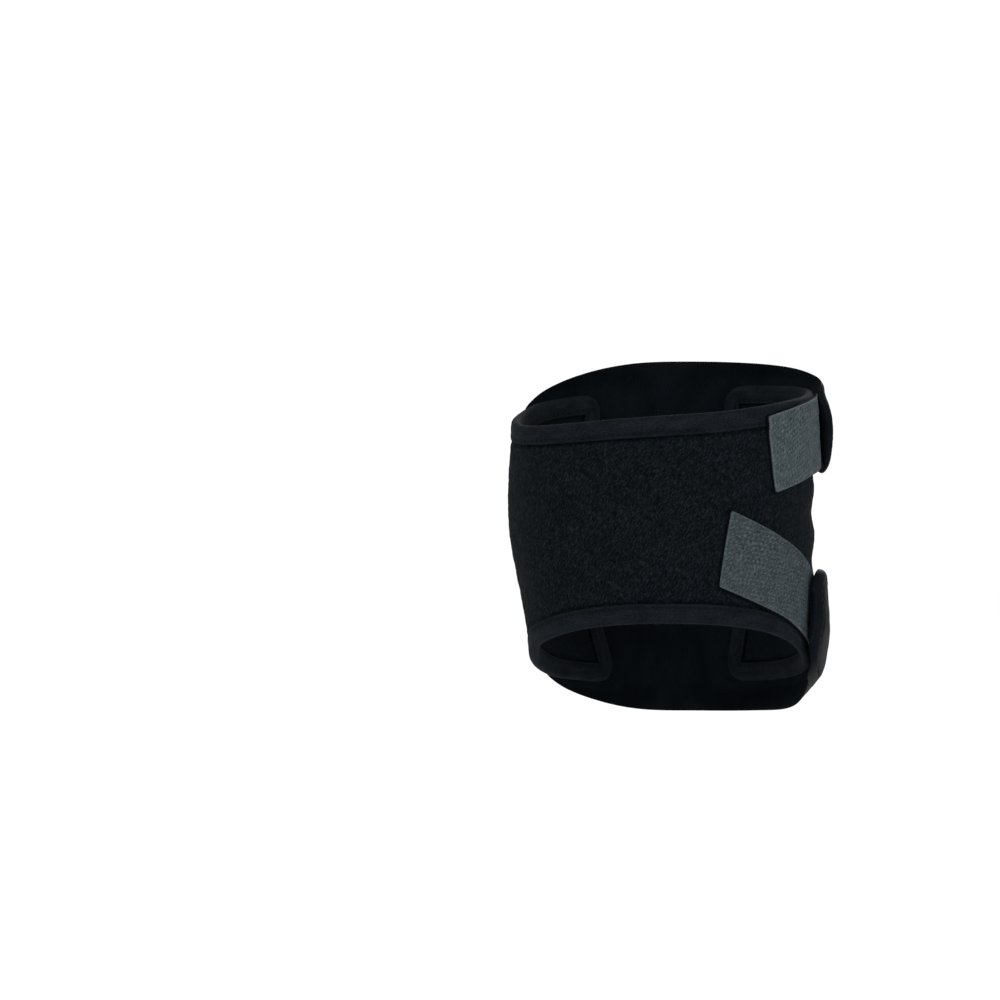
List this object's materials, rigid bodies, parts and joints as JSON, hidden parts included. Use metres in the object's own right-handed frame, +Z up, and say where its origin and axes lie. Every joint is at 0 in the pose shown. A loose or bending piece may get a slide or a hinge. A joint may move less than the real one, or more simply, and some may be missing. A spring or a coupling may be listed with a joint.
{
  "type": "patella knee strap",
  "caption": "Black fastening wrap for the knee with padded straps above and below an open kneecap, held by grey hook tabs.",
  "frame": {"origin": "on the axis of the leg that the strap is worn on, level with the middle of the kneecap opening", "axes": "+Z up along the leg, +Y from the hollow of the knee towards the kneecap, +X to the side where the hook tabs fasten"},
  "size_m": [0.1289, 0.1255, 0.1449],
  "materials": {
    "loop_pile": "brushed loop pile on neoprene, matt",
    "binding_tape": "smooth knitted edge tape",
    "strap_cloth": "smooth jersey over a pad, faint sheen",
    "hook_tape": "grey woven tape, the back of a hook fastener"
  },
  "bodies": {
    "root": {"wrap_panel": "loop_pile", "edge_binding": "binding_tape", "upper_strap": "strap_cloth", "lower_strap": "strap_cloth", "upper_hook_tab": "hook_tape", "lower_hook_tab": "hook_tape"}
  },
  "joints": []
}
